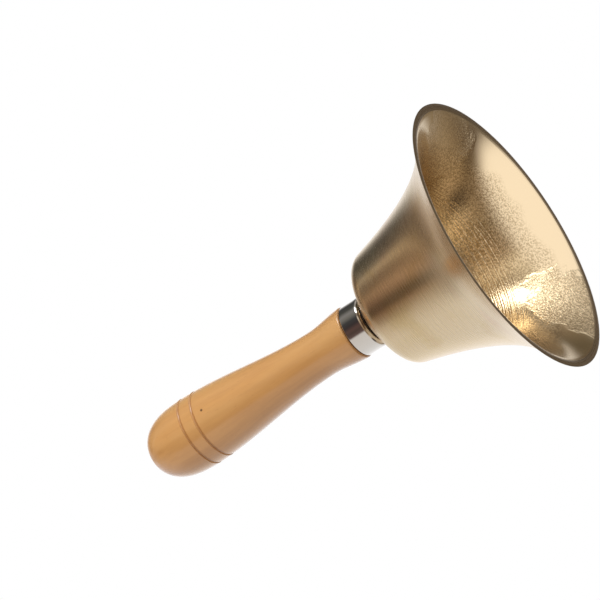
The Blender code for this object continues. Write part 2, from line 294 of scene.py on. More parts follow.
@dataclass
class NodeBench:
    """A node tree, with short ways to add and join its nodes."""

    tree: bpy.types.NodeTree

    @property
    def shader(self) -> Node:
        """A material's Principled shader."""
        return self.tree.nodes["Principled BSDF"]

    def add(self, kind: str, **settings: object) -> Node:
        """Adds a node.

        Args:
            kind: The node's type name.
            settings: Attributes to set on it.

        Returns:
            The new node.
        """
        node = self.tree.nodes.new(kind)
        for key, value in settings.items():
            setattr(node, key, value)
        return node

    def wire(self, source: Socket, target: Socket) -> None:
        """Links an output to an input."""
        self.tree.links.new(source, target)

    def feed(self, target: Socket, value: Level | tuple[float, ...]) -> None:
        """Puts a number on a socket, or links another socket to it.

        Args:
            target: The input socket.
            value: A number, a tuple or an output socket.
        """
        if isinstance(value, Socket):
            self.wire(value, target)
        else:
            target.default_value = value

    def math(self, operation: str, *values: Level) -> Socket:
        """A Math node.

        Args:
            operation: The node's operation.
            values: Its inputs, as numbers or sockets.

        Returns:
            The result's socket.
        """
        node = self.add("ShaderNodeMath", operation=operation)
        for socket, value in zip(node.inputs, values):
            self.feed(socket, value)
        return node.outputs[0]

    def place(self) -> tuple[Socket, ...]:
        """The surface point's X, Y and Z, and its distance from the Z axis.

        Returns:
            The object coordinate, then x, y, z and the radius.
        """
        spot = self.add("ShaderNodeTexCoord").outputs["Object"]
        parts = self.add("ShaderNodeSeparateXYZ")
        self.wire(spot, parts.inputs[0])
        x, y, z = parts.outputs
        squares = self.math("ADD", self.math("MULTIPLY", x, x), self.math("MULTIPLY", y, y))
        return spot, x, y, z, self.math("SQRT", squares)

    def along(self) -> Socket:
        """How far along the turned profile the surface point is, about."""
        _, _, _, z, radius = self.place()
        return self.math("SUBTRACT", z, radius)

    def away_from(self, spot: Socket, center: tuple[float, ...]) -> Socket:
        """The surface point's distance from a place.

        Args:
            spot: The object coordinate's socket.
            center: The place, in metres.

        Returns:
            The distance's socket.
        """
        node = self.add("ShaderNodeVectorMath", operation="DISTANCE")
        self.wire(spot, node.inputs[0])
        node.inputs[1].default_value = center
        return node.outputs["Value"]

    def around(self, across: float, fine: float) -> Socket:
        """A vector that changes slowly round the axis and quickly along the profile.

        Args:
            across: How fast the vector changes round the axis.
            fine: How fast it changes along the profile.

        Returns:
            The vector's socket.
        """
        _, x, y, z, radius = self.place()
        along = self.math("SUBTRACT", z, radius)
        vector = self.add("ShaderNodeCombineXYZ")
        self.wire(self.math("MULTIPLY", self.math("DIVIDE", x, radius), across), vector.inputs[0])
        self.wire(self.math("MULTIPLY", self.math("DIVIDE", y, radius), across), vector.inputs[1])
        self.wire(self.math("MULTIPLY", along, fine), vector.inputs[2])
        return vector.outputs[0]

    def noise(self, vector: Socket, scale: float, detail: float, rough: float) -> Socket:
        """A noise texture's grey value.

        Args:
            vector: The socket of the place that it reads.
            scale: The noise's scale.
            detail: Its detail.
            rough: Its roughness.

        Returns:
            The grey value's socket, about 0.5 on average.
        """
        node = self.add("ShaderNodeTexNoise")
        self.wire(vector, node.inputs["Vector"])
        node.inputs["Scale"].default_value = scale
        node.inputs["Detail"].default_value = detail
        node.inputs["Roughness"].default_value = rough
        return node.outputs[0]

    def turned_noise(self, across: float, fine: float, detail: float, rough: float) -> Socket:
        """Noise drawn out round the axis, as marks of turning and brushing are.

        Args:
            across: How fast it changes round the axis.
            fine: How fast it changes along the profile.
            detail: Its detail.
            rough: Its roughness.

        Returns:
            The grey value's socket.
        """
        return self.noise(self.around(across, fine), 1.0, detail, rough)

    def long_noise(self, spot: Socket, scale: tuple[float, ...], detail: float, rough: float) -> Socket:
        """Noise stretched along one direction, as wood grain is.

        Args:
            spot: The object coordinate's socket.
            scale: How fast it changes along X, Y and Z.
            detail: Its detail.
            rough: Its roughness.

        Returns:
            The grey value's socket.
        """
        node = self.add("ShaderNodeMapping")
        node.inputs["Scale"].default_value = scale
        self.wire(spot, node.inputs["Vector"])
        return self.noise(node.outputs[0], 1.0, detail, rough)

    def brush(self, stretch: float) -> None:
        """Stretches the gloss across marks that run round the axis.

        Args:
            stretch: How anisotropic the metal is.
        """
        self.shader.inputs["Anisotropic"].default_value = stretch
        self.shader.inputs["Anisotropic Rotation"].default_value = QUARTER_TURN
        tangent = self.add("ShaderNodeTangent", direction_type="RADIAL", axis="Z")
        self.wire(tangent.outputs[0], self.shader.inputs["Tangent"])

    def span(self, value: Level, low: float, high: float, to_low: float, to_high: float) -> Socket:
        """A smooth map from one span to another.

        Args:
            value: The socket that is mapped.
            low: Where the span starts.
            high: Where it ends.
            to_low: The result at its start.
            to_high: The result at its end.

        Returns:
            The mapped value's socket.
        """
        node = self.add("ShaderNodeMapRange", interpolation_type="SMOOTHSTEP")
        self.feed(node.inputs["Value"], value)
        ends = {"From Min": low, "From Max": high, "To Min": to_low, "To Max": to_high}
        for name, number in ends.items():
            node.inputs[name].default_value = number
        return node.outputs["Result"]

    def blend(self, share: Level, first: Paint, second: Paint) -> Socket:
        """A mix of two colours.

        Args:
            share: How much of the second colour there is.
            first: The first colour or its socket.
            second: The second colour or its socket.

        Returns:
            The mixed colour's socket.
        """
        node = self.add("ShaderNodeMix", data_type="RGBA")
        self.feed(node.inputs[0], share)
        for socket, value in ((node.inputs[6], first), (node.inputs[7], second)):
            self.feed(socket, value if isinstance(value, Socket) else (*value, 1.0))
        return node.outputs[2]

    def bump(
        self, height: Socket, distance: float, strength: float, under: Socket | None = None
    ) -> Socket:
        """A bump node.

        Args:
            height: The height's socket.
            distance: The real height of a full step, in metres.
            strength: How much of it shows.
            under: The normal of a bump below this one.

        Returns:
            The bumped normal's socket.
        """
        node = self.add("ShaderNodeBump")
        node.inputs["Distance"].default_value = distance
        node.inputs["Strength"].default_value = strength
        self.wire(height, node.inputs["Height"])
        if under is not None:
            self.wire(under, node.inputs["Normal"])
        return node.outputs[0]


@dataclass(frozen=True)
class Finish:
    """What every finish has: a name, a colour, a roughness and how metallic it is."""

    name: str
    color: Color
    roughness: float
    metallic: float = 1.0
    lines_per_metre: float = 9000.0
    line_depth: float = 0.004 * MM

    def make(self) -> bpy.types.Material:
        """Makes the material.

        Returns:
            The finished material.
        """
        material = bpy.data.materials.new(self.name)
        material.use_nodes = True
        bench = NodeBench(material.node_tree)
        bench.shader.inputs["Base Color"].default_value = (*self.color, 1.0)
        bench.shader.inputs["Roughness"].default_value = self.roughness
        bench.shader.inputs["Metallic"].default_value = self.metallic
        self.dress(bench)
        return material

    def dress(self, bench: NodeBench) -> None:
        """Adds the finish's own nodes; a plain metal gets faint turning lines.

        Args:
            bench: The material's nodes.
        """
        lines = bench.turned_noise(1.5, self.lines_per_metre, 2.0, 0.6)
        rough = bench.span(lines, 0.25, 0.75, self.roughness * 0.75, self.roughness * 1.3)
        bench.wire(rough, bench.shader.inputs["Roughness"])
        bench.wire(bench.bump(lines, self.line_depth, 0.5), bench.shader.inputs["Normal"])


@dataclass(frozen=True)
class BrushedBrass(Finish):
    """Brass brushed round the axis: satin, with fine scratches and faint stains."""

    stain: Color = (0.66, 0.50, 0.24)
    blush: Color = (0.72, 0.50, 0.36)
    scratch_color: Color = (0.30, 0.22, 0.12)
    stretch: float = 0.75
    fine_per_metre: float = 7000.0
    coarse_per_metre: float = 1800.0
    patches_per_metre: float = 60.0
    clouds_per_metre: float = 45.0
    scratch_depth: float = 0.012 * MM

    def dress(self, bench: NodeBench) -> None:
        """Adds scratches of three lengths, soft stains and the brushed stretch of the gloss.

        Args:
            bench: The material's nodes.
        """
        spot = bench.place()[0]
        fine = bench.turned_noise(3.0, self.fine_per_metre, 3.0, 0.7)
        coarse = bench.turned_noise(5.0, self.coarse_per_metre, 2.0, 0.6)
        patches = bench.turned_noise(1.6, self.patches_per_metre, 2.0, 0.5)
        cloud = bench.noise(spot, self.clouds_per_metre, 3.0, 0.55)
        stained = bench.blend(bench.span(cloud, 0.52, 0.72, 0.0, 0.55), self.color, self.stain)
        rosy = bench.blend(bench.span(patches, 0.5, 0.75, 0.0, 0.35), stained, self.blush)
        fine_part, coarse_part = bench.math("MULTIPLY", fine, 0.6), bench.math("MULTIPLY", coarse, 0.4)
        scratched = bench.math("ADD", fine_part, coarse_part)
        darker = bench.blend(bench.span(scratched, 0.3, 0.7, 0.16, 0.0), rosy, self.scratch_color)
        bench.wire(darker, bench.shader.inputs["Base Color"])
        rough = bench.span(scratched, 0.3, 0.7, self.roughness * 0.8, self.roughness * 1.25)
        bench.wire(rough, bench.shader.inputs["Roughness"])
        bench.brush(self.stretch)
        bench.wire(bench.bump(scratched, self.scratch_depth, 0.6), bench.shader.inputs["Normal"])


@dataclass(frozen=True)
class CastBrass(Finish):
    """The inside: a smooth turned band at the lip, pebbled casting skin above, then tool chatter."""

    skin: Color = (0.30, 0.20, 0.09)
    stretch: float = 0.6
    band_top: float = 6.5 * MM
    band_wander: float = 8.0 * MM
    chatter_start: float = 19.0 * MM
    chatter_run: float = 4.0 * MM
    chatter_pitch: float = 1.05 * MM
    patches: tuple[tuple[float, float, float, float], ...] = (
        (-37.0, 32.0, 4.0, 1.0),
        (44.0, 16.0, 7.0, 0.45),
    )
    patch_reach: float = 13.5 * MM
    patch_wander: float = 22.0 * MM
    grains_per_metre: float = 2300.0
    pits_per_metre: float = 1250.0
    line_depth: float = 0.010 * MM
    skin_depth: float = 0.10 * MM
    ridge_depth: float = 0.022 * MM

    def dress(self, bench: NodeBench) -> None:
        """Adds the three kinds of surface, and the patches where the skin runs out to the lip.

        Args:
            bench: The material's nodes.
        """
        spot, _, _, z, _ = bench.place()
        drift = bench.math("SUBTRACT", bench.noise(spot, 60.0, 2.0, 0.5), 0.5)
        edge = bench.math("ADD", z, bench.math("MULTIPLY", drift, self.band_wander))
        above = bench.span(edge, self.band_top - 1.5 * MM, self.band_top + 2.5 * MM, 0.0, 1.0)
        patched = self.patch_share(bench, spot)
        grain = bench.noise(spot, self.grains_per_metre, 2.0, 0.6)
        pits = bench.noise(spot, self.pits_per_metre, 2.0, 0.55)
        pebbles = bench.math("ADD", bench.math("MULTIPLY", grain, 0.5), bench.math("MULTIPLY", pits, 0.5))
        strong = bench.math("MULTIPLY_ADD", patched, 3.6, bench.math("MULTIPLY", above, 0.8))
        fine = bench.turned_noise(2.0, 6000.0, 2.0, 0.6)

        skin_share = bench.math("MAXIMUM", bench.math("MULTIPLY", above, 0.85), patched)
        tone = bench.math("MULTIPLY", bench.span(pebbles, 0.44, 0.55, 0.68, 0.0), skin_share)
        bench.wire(bench.blend(tone, self.color, self.skin), bench.shader.inputs["Base Color"])
        rough = bench.math("MULTIPLY_ADD", fine, 0.06, self.roughness - 0.03)
        bench.wire(rough, bench.shader.inputs["Roughness"])
        bench.brush(self.stretch)
        lowest = bench.bump(fine, self.line_depth, 0.5)
        middle = bench.bump(bench.math("MULTIPLY", pebbles, strong), self.skin_depth, 0.9, lowest)
        top = bench.bump(self.ridges(bench, edge), self.ridge_depth, 1.0, middle)
        bench.wire(top, bench.shader.inputs["Normal"])

    def patch_share(self, bench: NodeBench, spot: Socket) -> Level:
        """Where the casting skin runs out to the lip, with a ragged edge.

        Args:
            bench: The material's nodes.
            spot: The object coordinate's socket.

        Returns:
            The share of casting skin, from 0 to 1.
        """
        ragged = bench.math("SUBTRACT", bench.noise(spot, 110.0, 4.0, 0.6), 0.5)
        patched: Level = 0.0
        for *center, strength in self.patches:
            reach = bench.away_from(spot, tuple(MM * part for part in center))
            far = bench.math("ADD", reach, bench.math("MULTIPLY", ragged, self.patch_wander))
            ends = (self.patch_reach + 1.0 * MM, self.patch_reach + 5.0 * MM)
            patched = bench.math("MAXIMUM", patched, bench.span(far, *ends, strength, 0.0))
        return patched

    def ridges(self, bench: NodeBench, edge: Socket) -> Socket:
        """The broken ridges that the tool's chatter left.

        Args:
            bench: The material's nodes.
            edge: The socket of the height above the mouth, with its wandering edge.

        Returns:
            The ridges' height, from -1 to 1.
        """
        ends = (self.chatter_start - self.chatter_run, self.chatter_start + self.chatter_run)
        wobble = bench.math("MULTIPLY", bench.turned_noise(9.0, 300.0, 2.0, 0.5), 1.4)
        turns = bench.math("ADD", bench.math("DIVIDE", bench.along(), self.chatter_pitch), wobble)
        broken = bench.span(bench.turned_noise(60.0, 900.0, 2.0, 0.6), 0.35, 0.6, 0.25, 1.0)
        depth = bench.math("MULTIPLY", bench.span(edge, *ends, 0.0, 1.0), broken)
        return bench.math("MULTIPLY", bench.math("SINE", bench.math("MULTIPLY", turns, math.tau)), depth)


@dataclass(frozen=True)
class VarnishedWood(Finish):
    """Honey-coloured turned wood under clear varnish, with grain along the handle and one small dark
    spot.
    """

    light: Color = (0.74, 0.44, 0.175)
    dark: Color = (0.42, 0.185, 0.055)
    dark_spot_color: Color = (0.05, 0.02, 0.01)
    dark_spot: tuple[float, float, float] = (6.6 * MM, -12.7 * MM, 140.5 * MM)
    dark_spot_radius: float = 0.75 * MM
    grooves: tuple[float, ...] = ()
    groove_shade_width: float = 0.75 * MM
    grain_scale: tuple[float, ...] = (260.0, 260.0, 9.0)
    figure_scale: tuple[float, ...] = (60.0, 60.0, 6.0)
    pore_scale: tuple[float, ...] = (2400.0, 2400.0, 130.0)
    grain_depth: float = 0.03 * MM
    varnish_roughness: float = 0.10

    def dress(self, bench: NodeBench) -> None:
        """Adds long grain, pores, the dark spot, painted shade along the grooves and the coat of varnish.

        Args:
            bench: The material's nodes.
        """
        spot, _, _, z, _ = bench.place()
        grain = bench.long_noise(spot, self.grain_scale, 4.0, 0.6)
        figure = bench.long_noise(spot, self.figure_scale, 3.0, 0.5)
        pore = bench.long_noise(spot, self.pore_scale, 1.0, 0.5)
        tone = bench.blend(bench.span(grain, 0.3, 0.7, 0.0, 0.42), self.color, self.dark)
        tone = bench.blend(bench.span(figure, 0.38, 0.68, 0.0, 0.6), tone, self.light)
        tone = bench.blend(bench.span(pore, 0.68, 0.8, 0.0, 0.35), tone, self.dark)
        # Painted shade: the wood is darkened along each turned groove.
        for groove in self.grooves:
            away = bench.math("ABSOLUTE", bench.math("SUBTRACT", z, groove))
            tone = bench.blend(bench.span(away, 0.1 * MM, self.groove_shade_width, 0.75, 0.0), tone, self.dark)
        # A small round dark spot painted at one place on the handle.
        reach = bench.away_from(spot, self.dark_spot)
        dark_spot_share = bench.span(reach, self.dark_spot_radius * 0.4, self.dark_spot_radius, 0.9, 0.0)
        tone = bench.blend(dark_spot_share, tone, self.dark_spot_color)
        bench.wire(tone, bench.shader.inputs["Base Color"])
        bench.shader.inputs["Coat Weight"].default_value = 1.0
        bench.shader.inputs["Coat Roughness"].default_value = self.varnish_roughness
        bench.wire(bench.bump(grain, self.grain_depth, 0.35), bench.shader.inputs["Normal"])


@dataclass(frozen=True)
class Fibre(Finish):
    """Pressed fibre with a faint fleck, near-black: partly its own dark colour, partly painted shade of
    the gap it sits in.
    """

    fleck_color: Color = (0.16, 0.12, 0.09)
    flecks_per_metre: float = 2600.0
    tooth: float = 0.03 * MM

    def dress(self, bench: NodeBench) -> None:
        """Adds the fleck and a fine tooth.

        Args:
            bench: The material's nodes.
        """
        spot = bench.place()[0]
        fleck = bench.noise(spot, self.flecks_per_metre, 3.0, 0.6)
        tone = bench.blend(bench.span(fleck, 0.4, 0.7, 0.0, 0.5), self.color, self.fleck_color)
        bench.wire(tone, bench.shader.inputs["Base Color"])
        bench.wire(bench.bump(fleck, self.tooth, 0.5), bench.shader.inputs["Normal"])


# ---------------------------------------------------------------- sub-assemblies


@dataclass
class Shell:
    """The bell's turned shell, with a fine profile outside and tool ridges inside."""

    mouth_radius: float
    crown_height: float
    throat_radius: float = 24.5 * MM
    crown_rise: float = 9.0 * MM
    shoulder_rounding: float = 6.9 * MM
    seat_radius: float = 11.5 * MM
    long_share: float = 0.755
    long_length: float = 56.3 * MM
    short_length: float = 8.4 * MM
    lip_thickness: float = 1.0 * MM
    wall: float = 2.2 * MM
    wall_build_up: float = 5.0 * MM
    crown_thickness: float = 2.6 * MM
    hole_radius: float = 3.3 * MM
    lip_edge: float = 0.22 * MM
    ridge_pitch: float = 1.05 * MM
    ridge_height: float = 0.06 * MM
    ridge_start: float = 16.0 * MM
    ridge_run: float = 6.0 * MM
    steps: int = 252
    shoulder_steps: int = 22
    flare_steps: int = 64
    lip_crowding: float = 1.35
    finishes: tuple[Finish, ...] = (
        BrushedBrass("brushed_brass", (0.79, 0.64, 0.43), 0.25),
        CastBrass("cast_brass", (0.81, 0.64, 0.40), 0.17),
        # The lip's face is the same brass painted darker: painted shade on the downward lip face.
        Finish("lip_painted_shade", (0.29, 0.21, 0.12), 0.30),
    )

    @property
    def shoulder_height(self) -> float:
        """Where the flare ends and the shoulder begins."""
        return self.crown_height - self.crown_rise

    def radius_at(self, height: float) -> float:
        """The outer radius of the flare.

        Args:
            height: The height above the mouth.

        Returns:
            The radius there.
        """
        top = self.flare(self.shoulder_height)
        share = (self.flare(height) - top) / (1.0 - top)
        return self.throat_radius + (self.mouth_radius - self.throat_radius) * share

    def flare(self, height: float) -> float:
        """The flare's long taper and short mouth part together, 1 at the mouth."""
        long_part = self.long_share * math.exp(-height / self.long_length)
        return long_part + (1.0 - self.long_share) * math.exp(-height / self.short_length)

    def outline(self) -> list[Point]:
        """The outer points from the crown's seat down to the lip.

        Returns:
            The points of radius and height.
        """
        top = self.shoulder_height
        slope = (self.radius_at(top) - self.radius_at(top - MM)) / MM
        start = math.degrees(math.atan(-slope))
        rounding = self.shoulder_rounding
        center = (
            self.throat_radius - rounding * math.cos(math.radians(start)),
            top - rounding * math.sin(math.radians(start)),
        )
        seat = Vector((self.seat_radius - center[0], self.crown_height - center[1]))
        end = math.degrees(math.atan2(seat.y, seat.x) - math.acos(rounding / seat.length))
        shoulder = arc(center, rounding, end, start, self.shoulder_steps)
        count = self.flare_steps
        shares = [(i / count) ** self.lip_crowding for i in range(count, -1, -1)]
        flare = [(self.radius_at(top * share), top * share) for share in shares]
        seat_edge = (self.seat_radius, self.crown_height)
        slope_points = [lerp_point(seat_edge, shoulder[0], i / 4.0) for i in range(4)]
        return slope_points + shoulder + flare[1:]

    def wall_at(self, height: float) -> float:
        """The wall's thickness at a height, thinner towards the lip."""
        return self.wall - (self.wall - self.lip_thickness) * math.exp(-height / self.wall_build_up)

    def ridge_at(self, height: float) -> float:
        """How far the tool's ridges stand in from the inner wall.

        Args:
            height: The height above the mouth.

        Returns:
            The ridge's height there.
        """
        grown = smooth_step((height - self.ridge_start) / self.ridge_run)
        wave = 0.5 - 0.5 * math.cos(math.tau * height / self.ridge_pitch)
        return self.ridge_height * grown * wave

    def inside(self) -> list[Point]:
        """The inner points from the lip up to the crown's flat seat.

        Returns:
            The points of radius and height.
        """
        inner_crown = self.crown_height - self.crown_thickness
        outer = np.array(self.outline())
        along = np.gradient(outer, axis=0)
        inward = np.stack([along[:, 1], -along[:, 0]], axis=1)
        inward /= np.linalg.norm(inward, axis=1)[:, None]
        walls = np.array([self.wall_at(height) for height in outer[:, 1]])
        moved = outer + inward * walls[:, None]
        kept = moved[(moved[:, 1] > 0.4 * MM) & (moved[:, 1] < inner_crown - 0.3 * MM)][::-1]
        lip = np.array([[self.inner_lip_radius(), 0.0]])
        kept = np.vstack([lip, kept])
        reach = np.concatenate([[0.0], np.cumsum(np.linalg.norm(np.diff(kept, axis=0), axis=1))])
        even = np.arange(self.ridge_pitch / 4.0, reach[-1], self.ridge_pitch / 4.0)
        radii, heights = (np.interp(even, reach, kept[:, axis]) for axis in (0, 1))
        ridged = [(r - self.ridge_at(h), h) for r, h in zip(radii, heights)]
        corner = (self.crown_corner(inner_crown), inner_crown)
        return ridged + [corner]

    def crown_corner(self, inner_crown: float) -> float:
        """The radius where the crown's flat inner seat ends.

        Args:
            inner_crown: The seat's height.

        Returns:
            The radius.
        """
        outline = self.outline()
        along = Vector(outline[1]) - Vector(outline[0])
        start = Vector(outline[0]) + Vector((along.y, -along.x)).normalized() * self.wall
        return (start + along * ((inner_crown - start.y) / along.y)).x

    def inner_lip_radius(self) -> float:
        """The radius of the lip's inner edge.

        Returns:
            The radius.
        """
        outline = self.outline()
        along = Vector(outline[-1]) - Vector(outline[-2])
        return self.mouth_radius - self.lip_thickness * along.length / abs(along.y)

    def profile(self) -> list[Point]:
        """The whole closed section, with the lip's edges broken.

        Returns:
            The points of radius and height.
        """
        outline = self.outline()
        edge = self.lip_edge
        outer = [point for point in outline if point[1] > edge * 1.2]
        outer_lip = [
            (self.radius_at(edge) - 0.02 * MM, edge),
            (self.mouth_radius - edge * 0.55, edge * 0.25),
            (self.mouth_radius - edge * 1.4, 0.0),
        ]
        inner_edge = self.inner_lip_radius()
        inner_lip = [(inner_edge + edge * 0.9, 0.0), (inner_edge + edge * 0.2, edge * 0.12)]
        inner = [point for point in self.inside() if point[1] > edge * 0.8]
        inner_crown = self.crown_height - self.crown_thickness
        hole = [(self.hole_radius, inner_crown), (self.hole_radius, self.crown_height)]
        return outer + outer_lip + inner_lip + inner + hole

    def build(self) -> Piece:
        """Turns the shell and dresses its outside, inside and lip.

        Returns:
            The shell.
        """
        shell = turn("bell_shell", self.profile(), self.steps, Seam.CLOSED)
        self.dress(shell)
        return shell

    def dress(self, shell: Piece) -> None:
        """Gives each face the finish of its side of the wall.

        Args:
            shell: The turned shell.
        """
        for finish in self.finishes:
            shell.data.materials.append(finish.make())
        inner_crown = self.crown_height - self.crown_thickness
        for face in shell.data.polygons:
            center, normal = face.center, face.normal
            outward = normal.x * center.x + normal.y * center.y
            on_lip = center.z < self.lip_edge and normal.z < -0.55
            under_crown = abs(center.z - inner_crown) < 0.2 * MM and normal.z < -0.9
            inner_side = outward < 0.0 or under_crown
            # The lip's faces take the darker brass, which is painted shade.
            face.material_index = 2 if on_lip else 1 if inner_side else 0


def lerp_point(first: Point, second: Point, share: float) -> Point:
    """The point at a share of the way from the first to the second."""
    return (first[0] + (second[0] - first[0]) * share, first[1] + (second[1] - first[1]) * share)


@dataclass
class Handle:
    """The turned wooden handle and its bright ferrule."""

    ferrule_radius: float
    ferrule_bottom: float
    ferrule_top: float
    tenon_bottom: float
    top: float
    ferrule_wall: float = 0.8 * MM
    ferrule_rounding: float = 1.7 * MM
    seat_gap: float = 0.3 * MM
    shoulder_proud: float = 0.4 * MM
    shoulder_rounding: float = 0.8 * MM
    waist_radius: float = 9.5 * MM
    waist_from_shoulder: float = 16.5 * MM
    swell_radius: float = 14.6 * MM
    swell_from_shoulder: float = 78.5 * MM
    butt_power: float = 2.5
    grooves_below_swell: tuple[float, ...] = (7.5 * MM, 1.4 * MM)
    groove_half_width: float = 0.62 * MM
    groove_depth: float = 0.5 * MM
    stem_hole: float = 3.3 * MM
    stem_top: float = 111.7 * MM
    stem_hole_point: float = 3.2 * MM
    stem_hole_spare: float = 0.6 * MM
    butt_steps: int = 26
    butt_crowding: float = 2.4
    profile_pitch: float = 1.1 * MM
    groove_points: int = 11
    closest: float = 0.02 * MM
    grip_steps: int = 160
    ferrule_steps: int = 160
    wood_color: Color = (0.64, 0.335, 0.115)
    nickel: Finish = Finish("polished_nickel", (0.74, 0.71, 0.67), 0.09)

    @property
    def shoulder(self) -> float:
        """The height of the wood's shoulder above the ferrule."""
        return self.ferrule_top + self.seat_gap

    @property
    def length(self) -> float:
        """The handle's length above its shoulder."""
        return self.top - self.shoulder

    def radius_at(self, reach: float) -> float:
        """The handle's radius.

        Args:
            reach: The distance above the shoulder.

        Returns:
            The radius there, without the grooves.
        """
        shoulder = self.ferrule_radius + self.shoulder_proud
        if reach < self.waist_from_shoulder:
            share = smooth_step(reach / self.waist_from_shoulder)
            return shoulder + (self.waist_radius - shoulder) * share
        if reach < self.swell_from_shoulder:
            run = self.swell_from_shoulder - self.waist_from_shoulder
            share = smooth_step((reach - self.waist_from_shoulder) / run)
            return self.waist_radius + (self.swell_radius - self.waist_radius) * share
        share = (reach - self.swell_from_shoulder) / (self.length - self.swell_from_shoulder)
        rounded = 1.0 - min(1.0, share) ** self.butt_power
        return self.swell_radius * rounded ** (1.0 / self.butt_power)

    def cut_at(self, reach: float) -> float:
        """How deep the turned grooves are.

        Args:
            reach: The distance above the shoulder.

        Returns:
            The depth there, 0 away from the grooves.
        """
        depth = 0.0
        for below in self.grooves_below_swell:
            away = abs(reach - (self.swell_from_shoulder - below)) / self.groove_half_width
            depth = max(depth, self.groove_depth * math.sqrt(max(0.0, 1.0 - away * away)))
        return depth

    def outline(self) -> list[Point]:
        """The handle's outer points from the butt down to above the shoulder's rounding.

        Returns:
            The points of radius and height.
        """
        steps = self.butt_steps
        butt = [1.0 - (i / steps) ** self.butt_crowding for i in range(1, steps + 1)]
        butt_run = self.length - self.swell_from_shoulder
        reaches = [self.swell_from_shoulder + butt_run * share for share in butt]
        low = 1.6 * self.shoulder_rounding
        reaches += list(np.arange(self.swell_from_shoulder, low, -self.profile_pitch))
        for below in self.grooves_below_swell:
            center = self.swell_from_shoulder - below
            cuts = np.linspace(-1.0, 1.0, self.groove_points)
            reaches += [center + self.groove_half_width * cut for cut in cuts]
        ordered = sorted(set(reaches), reverse=True)
        kept = ordered[:1]
        kept += [reach for above, reach in zip(ordered, ordered[1:]) if above - reach > self.closest]
        return [(self.radius_at(reach) - self.cut_at(reach), self.shoulder + reach) for reach in kept]

    def build_grip(self) -> Piece:
        """Turns the handle, with its tenon and blind bore.

        Returns:
            The handle.
        """
        rounding = self.shoulder_rounding
        corner_radius = self.radius_at(rounding)
        corner = arc((corner_radius - rounding, self.shoulder + rounding), rounding, 0.0, -90.0, 10)
        tenon_radius = self.ferrule_radius - self.ferrule_wall - self.seat_gap
        chamfer = self.ferrule_rounding - self.ferrule_wall
        tenon = [
            (tenon_radius, self.shoulder),
            (tenon_radius, self.tenon_bottom + chamfer),
            (tenon_radius - chamfer, self.tenon_bottom),
        ]
        bore = [
            (self.stem_hole, self.tenon_bottom),
            (self.stem_hole, self.stem_top - self.stem_hole_point),
            (0.0, self.stem_top + self.stem_hole_spare),
        ]
        profile = [(0.0, self.top)] + self.outline() + corner + tenon + bore
        grip = turn("handle_turned", profile, self.grip_steps, Seam.ON_AXIS)
        swell = self.shoulder + self.swell_from_shoulder
        places = tuple(swell - below for below in self.grooves_below_swell)
        wood = VarnishedWood("varnished_wood", self.wood_color, 0.34, 0.0, grooves=places)
        grip.data.materials.append(wood.make())
        return grip

    def build_ferrule(self) -> Piece:
        """Turns the ferrule's cup, with a slightly rolled open edge.

        Returns:
            The ferrule.
        """
        rounding = self.ferrule_rounding
        outer, bottom = self.ferrule_radius, self.ferrule_bottom
        roll = self.ferrule_wall * 0.45
        rim = arc((outer - roll, self.ferrule_top - roll), roll, 90.0, 0.0, 6)
        side = [(outer, self.ferrule_top - roll - 0.8 * MM), (outer, bottom + rounding + 0.4 * MM)]
        corner = arc((outer - rounding, bottom + rounding), rounding, 0.0, -90.0, 14)
        inside = outer - self.ferrule_wall
        inner_rounding = rounding - self.ferrule_wall
        plate = bottom + self.ferrule_wall
        inner = arc((inside - inner_rounding, plate + inner_rounding), inner_rounding, -90.0, 0.0, 6)
        hole = [(self.stem_hole, bottom), (self.stem_hole, plate)]
        profile = rim + side + corner + hole + inner + [(inside, self.ferrule_top)]
        ferrule = turn("ferrule_cup", profile, self.ferrule_steps, Seam.CLOSED)
        ferrule.data.materials.append(self.nickel.make())
        return ferrule


